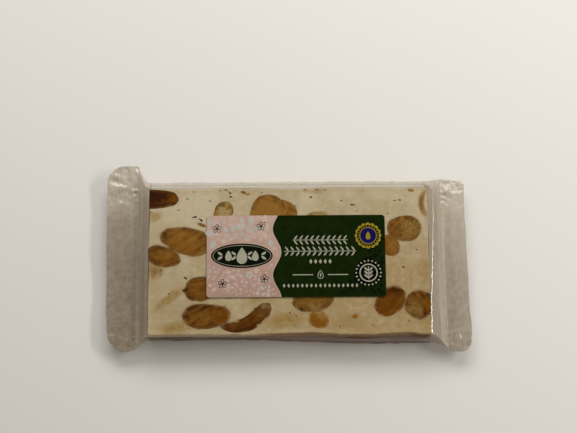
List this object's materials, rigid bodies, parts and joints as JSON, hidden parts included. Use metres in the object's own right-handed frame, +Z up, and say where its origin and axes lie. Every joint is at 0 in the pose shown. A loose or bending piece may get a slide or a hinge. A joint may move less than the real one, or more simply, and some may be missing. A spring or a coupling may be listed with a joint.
{
  "type": "nougat bar",
  "caption": "Flat bar of pale almond nougat in a clear flow-wrapped film pack with crimped end seals and a printed label.",
  "frame": {"origin": "middle of the pack's box, on the plane that the bar rests on", "axes": "+X along the bar from the seal with the large ear to the straight one, +Y to the back edge, +Z up out of the labelled face"},
  "size_m": [0.1638, 0.0858, 0.0125],
  "materials": {
    "nougat": "satin, soft and slightly aerated",
    "almond": "satin, roasted",
    "almond_dark": "satin, skin on",
    "almond_cut": "dull, broken flesh",
    "film": "clear, glossy, two plies and crimped at the ends",
    "label": "semi-gloss print in pink and green"
  },
  "bodies": {
    "root": {"almond_back_left": "almond_dark", "almond_back_lobe": "almond", "almond_back_middle": "almond", "almond_base_01": "almond", "almond_base_02": "almond", "almond_base_03": "almond", "almond_base_04": "almond", "almond_base_05": "almond", "almond_base_06": "almond", "almond_base_07": "almond", "almond_base_08": "almond", "almond_base_09": "almond", "almond_base_10": "almond", "almond_base_11": "almond", "almond_base_12": "almond", "almond_base_13": "almond", "almond_chip_front": "almond", "almond_curved": "almond_dark", "almond_front_left": "almond", "almond_front_middle": "almond", "almond_front_right": "almond", "almond_half_round": "almond_cut", "almond_label_back": "almond", "almond_label_front": "almond_cut", "almond_label_left": "almond", "almond_label_right": "almond", "almond_left_large": "almond", "almond_left_small": "almond", "almond_right_corner": "almond_cut", "almond_right_large": "almond", "almond_right_sliver": "almond", "almond_side_back_left": "almond", "almond_side_back_middle": "almond", "almond_side_back_right": "almond", "almond_side_front_left": "almond", "almond_side_front_middle": "almond", "almond_side_front_right": "almond", "label": "label", "nougat": "nougat", "wrap": "film"}
  },
  "joints": []
}
